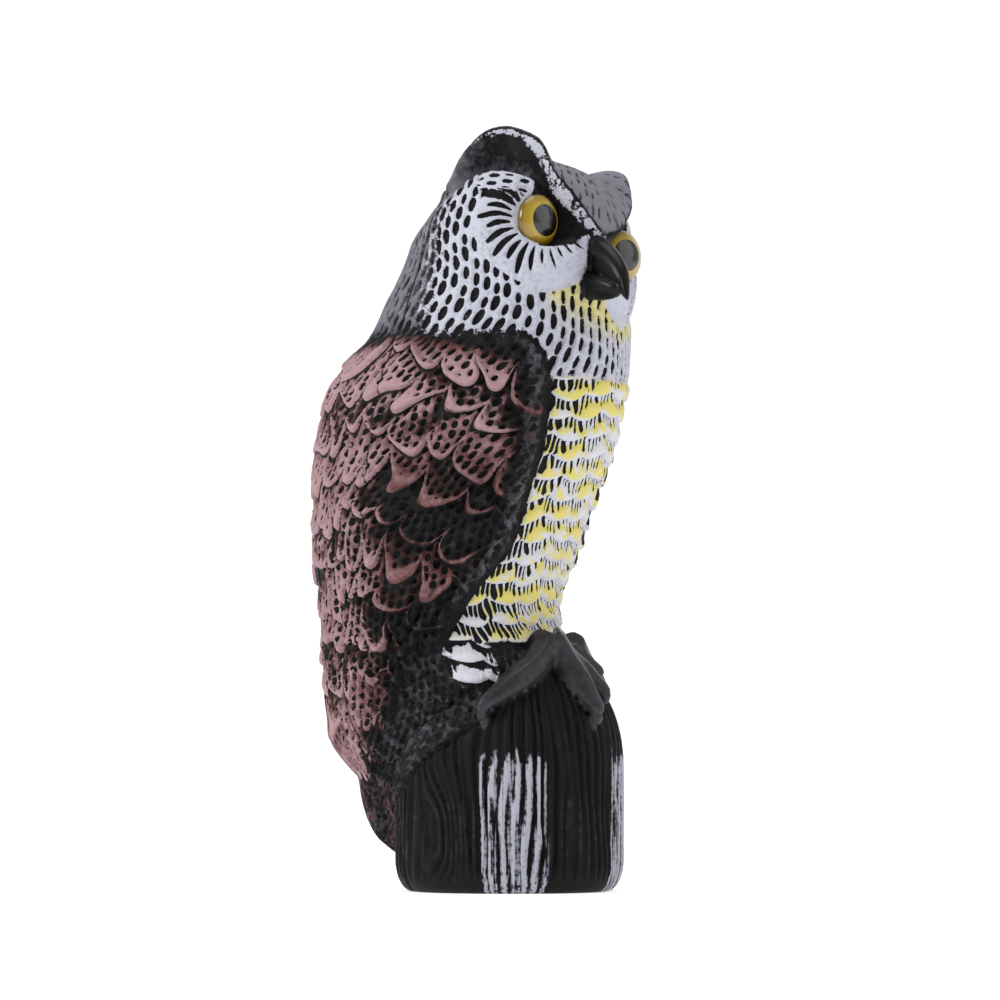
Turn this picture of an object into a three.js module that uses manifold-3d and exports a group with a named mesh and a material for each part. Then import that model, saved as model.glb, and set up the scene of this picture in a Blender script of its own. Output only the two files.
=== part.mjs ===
// Garden owl decoy: a horned owl on the tree stump it grips, blow moulded in one piece, with two eyes set in.
// Millimetres, +Z up. The owl faces -Y and its left side is +X.
// The origin is the middle of the stump's underside.
import * as THREE from "three";
import { mergeVertices } from "three/addons/utils/BufferGeometryUtils.js";
import Module from "manifold-3d";

// Stump: a short round log with a flat underside and a domed top under the bird.
const STUMP_RADIUS = 60;
const STUMP_HEIGHT = 128;
const STUMP_DOME = 66;
const STUMP_DOME_SQUARENESS = 2.3;
const BASE_EDGE_INSET = 9;
const BASE_EDGE_RISE = 17;
const BARK_RIBS = 28;
const BARK_DEPTH = 1.8;

// Owl: its height runs from the dome's top to the ear tips.
// The figure's own proportions are hundredths of that height.
const OWL_HEIGHT = 272;
const HEAD_TURN = 24;
const HEAD_TILT = 13.5;
const WING_STEP = 4.5;
const FEATHERS_ROUND = 20;
const FEATHER_LIFT = 2.2;
const TOE_RADIUS = 7.5;

// Eyes: domed plastic buttons glued into round sockets.
const EYE_DIAMETER = 27;
const EYE_DOME = 6;
const EYE_SEAT = 3;
const EYE_CLEARANCE = 0.3;

// How finely the smooth forms are cut into faces.
const COLUMNS_PER_FEATHER = 3;
const OWL_COLUMNS = FEATHERS_ROUND * COLUMNS_PER_FEATHER;

const PLASTIC = { color: 0x2b2b2e, roughness: 0.62, metalness: 0 };
const EYE_PLASTIC = { color: 0xd8a318, roughness: 0.12, metalness: 0 };

const part = OWL_HEIGHT / 100;
const turnOf = THREE.MathUtils.degToRad;
const degreesOf = THREE.MathUtils.radToDeg;
const mix = THREE.MathUtils.lerp;
const clamp = THREE.MathUtils.clamp;

// 0 below from, 1 above to, with a smooth rise between them.
function rise(value, from, to) {
  const t = clamp((value - from) / (to - from), 0, 1);
  return t * t * (3 - 2 * t);
}

function hump(value, middle, width) {
  return Math.exp(-(((value - middle) / width) ** 2));
}

// A smooth curve through rows of [place, value, value, ...]; the result gives the values at any place.
function through(rows) {
  const slope = (k, column) => {
    const before = rows[Math.max(k - 1, 0)];
    const after = rows[Math.min(k + 1, rows.length - 1)];
    return (after[column] - before[column]) / (after[0] - before[0]);
  };
  return (place) => {
    const at = clamp(place, rows[0][0], rows[rows.length - 1][0]);
    const k = Math.max(rows.findIndex((row) => at <= row[0]) - 1, 0);
    const span = rows[k + 1][0] - rows[k][0];
    const t = (at - rows[k][0]) / span;
    return rows[k].slice(1).map((value, i) => {
      const next = rows[k + 1][i + 1];
      const out = slope(k, i + 1) * span;
      const into = slope(k + 1, i + 1) * span;
      return (
        value * (1 + 2 * t) * (1 - t) ** 2 +
        next * t * t * (3 - 2 * t) +
        out * t * (1 - t) ** 2 -
        into * t * t * (1 - t)
      );
    });
  };
}

// The trunk from vent to neck: height above the perch, half width, front, back and squareness.
const trunkAt = through([
  [-29, 7, 16, 24, 2.5],
  [-25.2, 11.3, 9.7, 29.4, 2.5],
  [-22.9, 13.3, 4.9, 32, 2.5],
  [-18.2, 16.7, -3.8, 35.4, 2.5],
  [-13.6, 19.2, -9, 35.7, 2.5],
  [-8.9, 20.7, -11.7, 36, 2.5],
  [-2, 22.3, -9.5, 35.9, 2.5],
  [7.3, 24, -6.8, 35.9, 2.4],
  [16.6, 25.5, -9.6, 37.4, 2.3],
  [28.2, 26.8, -13.9, 37.8, 2.2],
  [37.5, 26.8, -18.6, 37.6, 2.2],
  [46.8, 25.9, -21.5, 36.3, 2.1],
  [52, 25.1, -22.9, 34, 2.1],
  [60.7, 23.5, -23.5, 26.8, 2.1],
  [72, 22.6, -24, 22, 2],
]);
const TRUNK_FOOT = -29;

// The front edge of a folded wing: height above the perch, and its angle round from the breast's middle.
const wingEdgeAt = through([
  [-26, 112],
  [-19, 102],
  [-13.2, 98],
  [-4.3, 84],
  [0.2, 69],
  [5.4, 57.5],
  [9.4, 51],
  [14.3, 43],
  [18.5, 37.5],
  [25, 36],
  [33, 37.5],
  [42, 40.5],
  [50, 43.5],
  [55, 48],
  [59, 58],
]);
const WING_TOP = 60;

// A point on the trunk's skin, lifted outward from it by a feather's or the wing's thickness.
function trunkPoint(turn, height, lift) {
  const [halfWidth, front, back, squareness] = trunkAt(height);
  const middle = (front + back) / 2;
  const halfDepth = (back - front) / 2;
  const across = Math.sin(turn);
  const ahead = Math.cos(turn);
  const reach = (Math.abs(across) ** squareness + Math.abs(ahead) ** squareness) ** (-1 / squareness);
  const outward = new THREE.Vector2(across / halfWidth, ahead / halfDepth).normalize();
  return new THREE.Vector3(
    halfWidth * part * across * reach + outward.x * lift,
    middle * part - halfDepth * part * ahead * reach - outward.y * lift,
    STUMP_HEIGHT + height * part,
  );
}

// 0 on the breast, 1 on the wings and back, for an angle in degrees and a height in hundredths.
function onWing(angle, height) {
  const edge = wingEdgeAt(height)[0];
  return rise(Math.abs(angle), edge - 3, edge + 3) * rise(WING_TOP - height, 0, 4);
}

function wingLift(angle, height) {
  const fade = 1 - 0.8 * rise(Math.abs(angle), 60, 130);
  return WING_STEP * onWing(angle, height) * fade;
}

// The head: a boxy egg round HEAD_MIDDLE whose brow line rises into the two ears.
const HEAD_MIDDLE = new THREE.Vector3(0, -1.3 * part, STUMP_HEIGHT + 74.5 * part);
const HEAD_SIDE = 22;
const HEAD_BACK = 20.2;
const HEAD_FRONT = 23.4;
const HEAD_UP = 17.2;
const HEAD_DOWN = 36;

const headPose = new THREE.Matrix4()
  .makeTranslation(HEAD_MIDDLE.x, HEAD_MIDDLE.y, HEAD_MIDDLE.z)
  .multiply(new THREE.Matrix4().makeRotationZ(-turnOf(HEAD_TURN)))
  .multiply(new THREE.Matrix4().makeRotationY(turnOf(HEAD_TILT)));

// The rim of brow and ear: angle out from the beak's line, its height angle, and its reach.
const rimAt = through([
  [0, 7.5, 24.6],
  [11, 14.7, 25],
  [18, 22, 25],
  [25, 28, 25.1],
  [30, 33, 25.6],
  [35, 41, 26.6],
  [40, 46, 27.2],
  [52, 49.5, 27.7],
  [64, 50.5, 27.9],
  [75, 46, 27.4],
  [83, 36, 25.4],
  [91, 28, 22.4],
  [101, 24, 20.8],
  [180, 22, 19],
]);

// How deep the hollow under that rim is: the dark eye socket near the beak, then the open front of the ear.
const hollowAt = through([
  [0, 0],
  [6, 0.6],
  [13, 2.6],
  [24, 3],
  [34, 2.2],
  [46, 3],
  [60, 4],
  [76, 3.6],
  [90, 1],
  [104, 0],
  [180, 0],
]);

// Eye places on the head: angle out from the beak's line, height angle, distance, and where the eye looks.
const EYE_ANGLE = 31.8;
const EYE_RISE = 8.7;
const EYE_REACH = 21.2;
const EYE_LOOK = -3;

function headDirection(angle, height) {
  const a = turnOf(angle);
  const h = turnOf(height);
  return new THREE.Vector3(Math.sin(a) * Math.cos(h), -Math.cos(a) * Math.cos(h), Math.sin(h));
}

function headReach(angle, height) {
  const away = Math.abs(angle);
  const boxy = mix(3, 1.45, rise(away, 60, 118));
  const depth = mix(HEAD_FRONT, HEAD_BACK, rise(away, 70, 110));
  const side = mix(HEAD_SIDE, HEAD_BACK, rise(away, 80, 120));
  const level = Math.hypot(Math.sin(turnOf(angle)) / side, Math.cos(turnOf(angle)) / depth);
  const upright = Math.abs(Math.sin(turnOf(height))) / (height > 0 ? HEAD_UP : HEAD_DOWN);
  const egg = ((level * Math.cos(turnOf(height))) ** boxy + upright ** boxy) ** (-1 / boxy);

  const [rimHeight, rimReach] = rimAt(away);
  const above = height - rimHeight;
  const near = above > 0 ? hump(above, 0, 12) : 1 - rise(-above, 0, 6);
  const hollow = hollowAt(away)[0] * rise(-above, 1, 7) * (1 - rise(-above, 9, 19));
  const skull = egg - hollow + 1.6 * hump(height, 52, 12) * (1 - rise(away, 50, 90));

  const fromEye = Math.hypot((away - EYE_ANGLE - 2) * 0.9, height - EYE_RISE + 3);
  const under = rise(away, 3, 9) * rise(-above, 2, 8) * (1 - rise(height, 0, 16));
  const disc = 1.7 * (1 - rise(fromEye, 25, 30)) * under;
  const dish = 2 * (1 - rise(Math.hypot(away - EYE_ANGLE, height - EYE_RISE), 8, 24));
  return mix(skull + disc - dish, rimReach, near * (1 - rise(away, 94, 112)));
}

function headPoint(angle, height) {
  const reach = headReach(angle, height) * part;
  return headDirection(angle, height).multiplyScalar(reach).applyMatrix4(headPose);
}

// A closed skin over rows of points. Each row is a function of the turn, and the end rows are single points.
function skin(columns, rows) {
  const geometry = new THREE.SphereGeometry(1, columns, rows.length - 1);
  const position = geometry.getAttribute("position");
  const uv = geometry.getAttribute("uv");
  for (let i = 0; i < position.count; i++) {
    const row = Math.round((1 - uv.getY(i)) * (rows.length - 1));
    const turn = (uv.getX(i) % 1) * 2 * Math.PI;
    const point = rows[row](turn);
    position.setXYZ(i, point.x, point.y, point.z);
  }
  return geometry;
}

const wasm = await Module();
wasm.setup();

// A manifold-3d solid from a closed geometry, turned right side out.
function solid(geometry) {
  const bare = new THREE.BufferGeometry().setAttribute("position", geometry.getAttribute("position"));
  bare.setIndex(geometry.index);
  const merged = mergeVertices(bare, 1e-3);
  const faces = new Uint32Array(merged.index.array);
  const build = () =>
    new wasm.Manifold(
      new wasm.Mesh({ numProp: 3, vertProperties: merged.attributes.position.array, triVerts: faces }),
    );
  const made = build();
  if (made.volume() > 0) return made;
  for (let i = 0; i < faces.length; i += 3) [faces[i], faces[i + 1]] = [faces[i + 1], faces[i]];
  return build();
}

function geometryOf(made) {
  const mesh = made.getMesh();
  return new THREE.BufferGeometry()
    .setAttribute("position", new THREE.BufferAttribute(mesh.vertProperties, 3))
    .setIndex(new THREE.BufferAttribute(mesh.triVerts, 1));
}

// Angle from -180 to 180 degrees for a turn that starts at the owl's breast.
function angleOf(turn) {
  const angle = degreesOf(turn);
  return angle > 180 ? angle - 360 : angle;
}

// The neck carries the head's turn and untwists it down to the shoulders.
function neckPoint(turn, height) {
  const twist = turnOf(HEAD_TURN) * (1 - rise(height, 76, 50));
  return trunkPoint(turn - twist, height, wingLift(angleOf(turn), height));
}

// Head rows: from the crown's pole down to the brow line, then from the brow to below the cheeks.
const CROWN_SHARES = [0.22, 0.44, 0.64, 0.8, 0.92, 1];
const FACE_SHARES = [0.05, 0.12, 0.21, 0.31, 0.42, 0.53, 0.62, 0.7, 0.77, 0.86];
const CHEEK_FOOT = -34;
const headRows = [
  () => headPoint(0, 90),
  ...CROWN_SHARES.map((share) => (turn) => {
    const angle = angleOf(turn);
    return headPoint(angle, mix(90, rimAt(Math.abs(angle))[0], share));
  }),
  ...FACE_SHARES.map((share) => (turn) => {
    const angle = angleOf(turn);
    const point = headPoint(angle, mix(rimAt(Math.abs(angle))[0], CHEEK_FOOT, share));
    const back = rise(Math.abs(angle), 60, 120);
    const ring = neckPoint(turn, mix(80, 62, share));
    return point.lerp(ring, rise(share, mix(0.6, 0.25, back), mix(1, 0.8, back)));
  }),
  ...[60.5, 56].map((height) => (turn) => neckPoint(turn, height)),
];

// Feather rows: each ends in a scalloped edge that stands over the row below.
// Breast feathers are half as tall as wing feathers, so wing edges come on every other row.
const FIRST_ROW = 52;
const ROW_PITCH = 3.9;
const BREAST_ROWS = 17;
const EDGE_DROP = 0.4;
const WING_SCALLOP = 3;
const BREAST_SCALLOP = 1.4;

function featherRow(index, below) {
  const wingEdge = index % 2 === 0;
  const shift = Math.floor(index / 2) % 2 === 0 ? 0 : 0.5;
  const breastShift = wingEdge ? 0 : 0.5;
  return (turn) => {
    const angle = angleOf(turn);
    const level = FIRST_ROW - index * ROW_PITCH;
    const wing = onWing(angle, level);
    const scallop = (offset) => {
      const across = (((turn / (2 * Math.PI)) * FEATHERS_ROUND + offset) % 1) * 2 - 1;
      return 1 - across * across;
    };
    const wingSag = WING_SCALLOP * scallop(shift) * (wingEdge ? 1 : 0.4);
    const sag = mix(BREAST_SCALLOP * scallop(breastShift), wingSag, wing);
    const wingRise = wingEdge ? (below ? 0 : 1) : 0.5;
    const lift = mix(below ? 0 : 0.7, wingRise, wing) * FEATHER_LIFT * rise(level, -22, -12);
    const height = Math.max(level - sag - (below ? EDGE_DROP : 0), TRUNK_FOOT + 0.5);
    return trunkPoint(turn, height, wingLift(angle, height) + lift);
  };
}

const featherRows = Array.from({ length: BREAST_ROWS }, (_, index) => [
  featherRow(index, false),
  featherRow(index, true),
]).flat();

const footRows = [-17, -20, -23, -26].map(
  (height) => (turn) => trunkPoint(turn, height, wingLift(angleOf(turn), height)),
);
const trunkFoot = () => {
  const [, front, back] = trunkAt(TRUNK_FOOT);
  return new THREE.Vector3(0, ((front + back) / 2) * part, STUMP_HEIGHT + TRUNK_FOOT * part);
};

const owlForm = solid(skin(OWL_COLUMNS, [...headRows, ...featherRows, ...footRows, trunkFoot]));

// The stump: a turned profile whose side is pressed into upright bark ribs.
// The ribs die out on the dome and at the base.
function stumpForm() {
  const profile = [new THREE.Vector2(0, 0)];
  for (const share of [0, 0.35, 0.65, 1]) {
    const bend = turnOf(90 * share);
    profile.push(
      new THREE.Vector2(
        STUMP_RADIUS - BASE_EDGE_INSET * (1 - Math.sin(bend)),
        BASE_EDGE_RISE * (1 - Math.cos(bend)),
      ),
    );
  }
  for (const share of [0, 0.32, 0.54, 0.73, 0.88]) {
    const across = (1 - share ** STUMP_DOME_SQUARENESS) ** (1 / STUMP_DOME_SQUARENESS);
    profile.push(new THREE.Vector2(STUMP_RADIUS * across, STUMP_HEIGHT - STUMP_DOME * (1 - share)));
  }
  profile.push(new THREE.Vector2(0, STUMP_HEIGHT));
  const geometry = new THREE.LatheGeometry(profile, BARK_RIBS * 3);
  const position = geometry.getAttribute("position");
  const spot = new THREE.Vector3();
  for (let i = 0; i < position.count; i++) {
    spot.fromBufferAttribute(position, i);
    const [x, y, z] = [spot.x, -spot.z, spot.y];
    const away = Math.hypot(x, y);
    const turn = Math.atan2(y, x);
    const aboveBase = rise(z, BASE_EDGE_RISE * 0.2, BASE_EDGE_RISE);
    const offDome = rise(away, STUMP_RADIUS * 0.4, STUMP_RADIUS * 0.8);
    const groove = BARK_DEPTH * aboveBase * offDome * (0.5 - 0.5 * Math.cos(turn * BARK_RIBS));
    const scale = away > 0 ? (away - groove) / away : 1;
    position.setXYZ(i, x * scale, y * scale, z);
  }
  return solid(geometry);
}

// A tapered limb along a curve: radii are given at even steps from its root to its tip.
function limb(points, radii, columns, flatness = 1) {
  const line = new THREE.CatmullRomCurve3(points);
  const steps = (radii.length - 1) * 2;
  const radiusAt = through(radii.map((radius, k) => [k / (radii.length - 1), radius]));
  const frames = line.computeFrenetFrames(steps + 2, false);
  const rows = [() => line.getPointAt(0)];
  for (let k = 0; k <= steps; k++) {
    const share = mix(0.04, 0.97, k / steps);
    rows.push((turn) =>
      line
        .getPointAt(share)
        .addScaledVector(frames.normals[k + 1], Math.cos(turn) * radiusAt(share)[0])
        .addScaledVector(frames.binormals[k + 1], Math.sin(turn) * radiusAt(share)[0] * flatness),
    );
  }
  rows.push(() => line.getPointAt(1));
  return solid(skin(columns, rows));
}

// The toes: each one's angle round from the owl's front, its left side plus.
// With it goes how far the claw reaches down the dome, as a share of the dome's height.
const RIGHT_TOES = [
  [-17, 0.64],
  [-3, 0.47],
  [-80, 0.61],
];
const LEFT_TOES = [
  [25, 0.27],
  [50, 0.45],
  [80, 0.61],
];
const ANKLE_SIDE = 12;
const ANKLE_FRONT = 28;

function toes(side, spread) {
  const surface = (angle, z, lift) => {
    const share = clamp(1 - (STUMP_HEIGHT - z) / STUMP_DOME, 0, 1);
    const away = STUMP_RADIUS * (1 - share ** STUMP_DOME_SQUARENESS) ** (1 / STUMP_DOME_SQUARENESS) + lift;
    return new THREE.Vector3(Math.sin(turnOf(angle)) * away, -Math.cos(turnOf(angle)) * away, z);
  };
  const ankle = new THREE.Vector3(side * ANKLE_SIDE, -ANKLE_FRONT, STUMP_HEIGHT + 0.3 * TOE_RADIUS);
  const ankleAngle = degreesOf(Math.atan2(ankle.x, -ankle.y));
  return spread.map(([angle, drop]) => {
    const end = STUMP_HEIGHT - drop * STUMP_DOME;
    const knuckle = mix(end, STUMP_HEIGHT, 0.38);
    return limb(
      [
        ankle,
        surface(mix(ankleAngle, angle, 0.45), mix(knuckle, STUMP_HEIGHT, 0.55), 0.45 * TOE_RADIUS),
        surface(mix(ankleAngle, angle, 0.85), knuckle, 0.45 * TOE_RADIUS),
        surface(angle, mix(knuckle, end, 0.5), 0.7 * TOE_RADIUS),
        surface(angle, end, 0.1 * TOE_RADIUS),
      ],
      [1.2, 1.05, 1, 0.65, 0.3].map((share) => share * TOE_RADIUS),
      7,
    );
  });
}

// The tail's under feathers: a flat tongue behind the stump that ends below the folded wing tips.
function tailForm() {
  const rows = [
    [-8, 14, 26, 34],
    [-16, 13.5, 22, 32.5],
    [-24, 11.5, 16, 29.8],
    [-31, 10, 14, 28.8],
    [-36.5, 8, 12, 26.8],
    [-40, 5, 14, 23],
  ];
  const end =
    ([height, , front, back]) =>
    () =>
      new THREE.Vector3(0, ((front + back) / 2) * part, STUMP_HEIGHT + height * part);
  const rings = rows.map(([height, halfWidth, front, back]) => (turn) => {
    const across = Math.sin(turn);
    const ahead = Math.cos(turn);
    const reach = (Math.abs(across) ** 3 + Math.abs(ahead) ** 3) ** (-1 / 3);
    return new THREE.Vector3(
      halfWidth * part * across * reach,
      ((front + back) / 2) * part - ((back - front) / 2) * part * ahead * reach,
      STUMP_HEIGHT + height * part,
    );
  });
  return solid(skin(16, [end(rows[0]), ...rings, end(rows[rows.length - 1])]));
}

// The beak: a hooked upper half over a small rounded lower one, both on the head's middle line.
function beakForms() {
  const onLine = (forward, up) => new THREE.Vector3(0, -forward * part, up * part).applyMatrix4(headPose);
  const hook = limb(
    [onLine(17, 0), onLine(22.5, -0.4), onLine(26.8, -2.4), onLine(30.6, -5.6), onLine(34.2, -10.6)],
    [3.1, 3.3, 3.1, 2.2, 0.3].map((share) => share * part),
    10,
    0.75,
  );
  const jaw = limb(
    [onLine(21, -6.2), onLine(27.2, -7.2), onLine(31, -7.6)],
    [2.4, 2.8, 1.9].map((share) => share * part),
    10,
  );
  return [hook, jaw];
}

// A dome on a short round seat, turned to look along an eye's own line.
function eyeProfile(radius, seat, dome) {
  const ball = (radius * radius + dome * dome) / (2 * dome);
  const sweep = Math.asin(Math.min(radius / ball, 1));
  const points = [new THREE.Vector2(0, -seat), new THREE.Vector2(radius, -seat)];
  for (const share of [1, 0.75, 0.5, 0.25]) {
    points.push(
      new THREE.Vector2(ball * Math.sin(sweep * share), ball * Math.cos(sweep * share) - ball + dome),
    );
  }
  points.push(new THREE.Vector2(0, dome));
  return points;
}

function eyePose(side) {
  const seat = headDirection(side * EYE_ANGLE, EYE_RISE).multiplyScalar(EYE_REACH * part);
  const look = headDirection(side * EYE_LOOK, 0);
  const aim = new THREE.Matrix4().makeRotationFromQuaternion(
    new THREE.Quaternion().setFromUnitVectors(new THREE.Vector3(0, 1, 0), look),
  );
  return headPose.clone().multiply(aim.setPosition(seat));
}

function eyeGeometry(side) {
  const points = eyeProfile(EYE_DIAMETER / 2, EYE_SEAT, EYE_DOME);
  return new THREE.LatheGeometry(points, 20).applyMatrix4(eyePose(side));
}

// The socket leaves the clearance round and behind the eye, and opens a way out in front of it.
function socketForm(side) {
  const radius = EYE_DIAMETER / 2 + EYE_CLEARANCE;
  const points = [
    new THREE.Vector2(0, -EYE_SEAT - EYE_CLEARANCE),
    new THREE.Vector2(radius, -EYE_SEAT - EYE_CLEARANCE),
    new THREE.Vector2(radius, EYE_DOME * 0.2),
    new THREE.Vector2(radius + EYE_DOME, EYE_DOME * 3),
    new THREE.Vector2(0, EYE_DOME * 3),
  ];
  return solid(new THREE.LatheGeometry(points, 20).applyMatrix4(eyePose(side)));
}

const moulding = [stumpForm(), tailForm(), ...toes(-1, RIGHT_TOES), ...toes(1, LEFT_TOES), ...beakForms()]
  .reduce((sum, form) => sum.add(form), owlForm)
  .subtract(socketForm(-1))
  .subtract(socketForm(1));

const owl = new THREE.Group();
function addPiece(name, geometry, look) {
  const mesh = new THREE.Mesh(geometry, new THREE.MeshStandardMaterial(look));
  mesh.name = name;
  owl.add(mesh);
}

addPiece("moulded_owl_and_stump", geometryOf(moulding), PLASTIC);
addPiece("right_eye", eyeGeometry(-1), EYE_PLASTIC);
addPiece("left_eye", eyeGeometry(1), EYE_PLASTIC);

export default owl;
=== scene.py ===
"""A garden owl decoy on a tree stump: one painted blow moulding, with two plastic eyes set in."""
import math

import bmesh
import bpy
import numpy as np
from mathutils import Matrix, Vector


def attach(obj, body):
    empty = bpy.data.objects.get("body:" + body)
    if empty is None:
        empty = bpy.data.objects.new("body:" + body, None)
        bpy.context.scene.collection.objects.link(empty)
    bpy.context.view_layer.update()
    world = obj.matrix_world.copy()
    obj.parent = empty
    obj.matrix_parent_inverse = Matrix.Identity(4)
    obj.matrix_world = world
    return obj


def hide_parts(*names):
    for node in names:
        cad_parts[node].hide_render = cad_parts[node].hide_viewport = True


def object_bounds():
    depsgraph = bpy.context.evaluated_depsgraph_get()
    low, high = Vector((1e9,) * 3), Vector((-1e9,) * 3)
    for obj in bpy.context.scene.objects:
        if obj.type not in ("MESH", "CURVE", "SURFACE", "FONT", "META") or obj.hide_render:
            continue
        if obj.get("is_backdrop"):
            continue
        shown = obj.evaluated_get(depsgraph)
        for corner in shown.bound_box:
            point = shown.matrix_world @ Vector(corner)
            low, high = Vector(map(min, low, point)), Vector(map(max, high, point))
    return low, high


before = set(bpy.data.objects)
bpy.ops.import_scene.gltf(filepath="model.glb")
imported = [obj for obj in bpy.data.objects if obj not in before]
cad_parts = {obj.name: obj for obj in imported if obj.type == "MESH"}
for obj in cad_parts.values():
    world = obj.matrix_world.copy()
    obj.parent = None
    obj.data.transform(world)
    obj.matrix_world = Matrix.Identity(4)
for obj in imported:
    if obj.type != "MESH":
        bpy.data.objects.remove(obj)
cad_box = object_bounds()

# The owl and its stump
# One hollow moulding in black polyethylene, blown in a two-part mould that closes behind the wings. It is
# carved all over by the mould, and white, yellow, grey and brown paint is dabbed on its high places.

# Sizes are in millimetres, proportions in hundredths of the owl's height above its perch.
MM = 0.001
STUMP_RADIUS = 60
STUMP_HEIGHT = 128
STUMP_DOME = 66
DOME_SQUARENESS = 2.3
BASE_EDGE_INSET = 9
BASE_EDGE_RISE = 17
OWL_HEIGHT = 272
PART = OWL_HEIGHT / 100
HEAD_TURN = 24
HEAD_TILT = 13.5
WING_STEP = 4.5
WING_TOP = 60
TRUNK_FOOT = -29
TAIL_TOP = -8
TAIL_FOOT = -40
TOE_RADIUS = 7.5
SKIN_GRAIN = 0.95
SKIN_FACES = 196000


class Tone(np.lib.mixins.NDArrayOperatorsMixin):
    """A shader socket that takes part in arithmetic: each step is one node."""

    STEPS = {
        np.add: "ADD",
        np.subtract: "SUBTRACT",
        np.multiply: "MULTIPLY",
        np.divide: "DIVIDE",
        np.maximum: "MAXIMUM",
        np.greater: "GREATER_THAN",
        np.absolute: "ABSOLUTE",
        np.floor: "FLOOR",
        np.remainder: "FLOORED_MODULO",
        np.sin: "SINE",
        np.exp: "EXPONENT",
        np.sqrt: "SQRT",
        np.arctan2: "ARCTAN2",
    }

    def __init__(self, tree, socket):
        self.tree = tree
        self.socket = socket

    def worked_by(self, node, *values):
        """What a node puts out once these values are fed to it."""
        for place, value in zip(node.inputs, values):
            if isinstance(value, Tone):
                self.tree.links.new(value.socket, place)
            else:
                place.default_value = value
        return Tone(self.tree, node.outputs[0])

    def __array_ufunc__(self, step, method, *values, **options):
        node = self.tree.nodes.new("ShaderNodeMath")
        node.operation = self.STEPS[step]
        return self.worked_by(node, *values)

    def rise(self, low, high):
        node = self.tree.nodes.new("ShaderNodeMapRange")
        node.interpolation_type = "SMOOTHSTEP"
        return self.worked_by(node, self, low, high)


def rise(value, low, high):
    """A smooth step from 0 at low to 1 at high."""
    if isinstance(value, Tone):
        return value.rise(low, high)
    share = np.minimum(np.maximum((value - low) / (high - low), 0), 1)
    return share * share * (3 - 2 * share)


def hump(value, middle, width):
    """A smooth hump, 1 at its middle."""
    away = (value - middle) / width
    return np.exp(0 - away * away)


def mix(start, end, share):
    return start + (end - start) * share


def through(rows):
    """A smooth curve through rows of (place, value, value, ...)."""
    rows = np.array(rows, float)
    place, values = rows[:, 0], rows[:, 1:]
    here = np.arange(len(rows))
    before, after = np.maximum(here - 1, 0), np.minimum(here + 1, len(rows) - 1)
    slopes = (values[after] - values[before]) / (place[after] - place[before])[:, None]

    def at(where):
        where = np.clip(np.asarray(where, float), place[0], place[-1])
        k = np.clip(np.searchsorted(place, where) - 1, 0, len(place) - 2)
        span = place[k + 1] - place[k]
        t = (where - place[k]) / span
        curve = (
            values[k].T * (1 + 2 * t) * (1 - t) ** 2
            + values[k + 1].T * t * t * (3 - 2 * t)
            + slopes[k].T * span * t * (1 - t) ** 2
            - slopes[k + 1].T * span * t * t * (1 - t)
        )
        return curve[0] if len(curve) == 1 else curve

    return at


# Trunk from vent to neck: height above the perch, half width, front, back and squareness.
trunk_at = through([
    (-29, 7, 16, 24, 2.5),
    (-25.2, 11.3, 9.7, 29.4, 2.5),
    (-22.9, 13.3, 4.9, 32, 2.5),
    (-18.2, 16.7, -3.8, 35.4, 2.5),
    (-13.6, 19.2, -9, 35.7, 2.5),
    (-8.9, 20.7, -11.7, 36, 2.5),
    (-2, 22.3, -9.5, 35.9, 2.5),
    (7.3, 24, -6.8, 35.9, 2.4),
    (16.6, 25.5, -9.6, 37.4, 2.3),
    (28.2, 26.8, -13.9, 37.8, 2.2),
    (37.5, 26.8, -18.6, 37.6, 2.2),
    (46.8, 25.9, -21.5, 36.3, 2.1),
    (52, 25.1, -22.9, 34, 2.1),
    (60.7, 23.5, -23.5, 26.8, 2.1),
    (72, 22.6, -24, 22, 2),
])

# Front edge of the folded wing: height, and its angle round from the breast's middle.
wing_edge_at = through([
    (-26, 112),
    (-19, 102),
    (-13.2, 98),
    (-4.3, 84),
    (0.2, 69),
    (5.4, 57.5),
    (9.4, 51),
    (14.3, 43),
    (18.5, 37.5),
    (25, 36),
    (33, 37.5),
    (42, 40.5),
    (50, 43.5),
    (55, 48),
    (59, 58),
])

# Rim of brow and ear: angle out from the beak's line, its height angle and its reach.
rim_at = through([
    (0, 7.5, 24.6),
    (11, 14.7, 25),
    (18, 22, 25),
    (25, 28, 25.1),
    (30, 33, 25.6),
    (35, 41, 26.6),
    (40, 46, 27.2),
    (52, 49.5, 27.7),
    (64, 50.5, 27.9),
    (75, 46, 27.4),
    (83, 36, 25.4),
    (91, 28, 22.4),
    (101, 24, 20.8),
    (180, 22, 19),
])

# Depth of the hollow under that rim: eye socket first, then the open front of the ear.
hollow_at = through([
    (0, 0),
    (6, 0.6),
    (13, 2.6),
    (24, 3),
    (34, 2.2),
    (46, 3),
    (60, 4),
    (76, 3.6),
    (90, 1),
    (104, 0),
    (180, 0),
])

HEAD_SIDE = 22
HEAD_BACK = 20.2
HEAD_FRONT = 23.4
HEAD_UP = 17.2
HEAD_DOWN = 36
CHEEK_FOOT = -34
CROWN_SWELL = 1.6
DISC_STEP = 1.7
EYE_DISH = 2
EYE_ANGLE = 31.8
EYE_RISE = 8.7
EYE_REACH = 21.2
EYE_LOOK = -3
HEAD_POSE = (
    Matrix.Translation((0, -1.3 * PART, STUMP_HEIGHT + 74.5 * PART))
    @ Matrix.Rotation(math.radians(-HEAD_TURN), 4, "Z")
    @ Matrix.Rotation(math.radians(HEAD_TILT), 4, "Y")
)


def wing_lift(angle, height):
    away = np.abs(angle)
    edge = wing_edge_at(height)
    on_wing = rise(away, edge - 3, edge + 3) * rise(WING_TOP - height, 0, 4)
    return WING_STEP * on_wing * (1 - 0.8 * rise(away, 60, 130))


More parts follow.
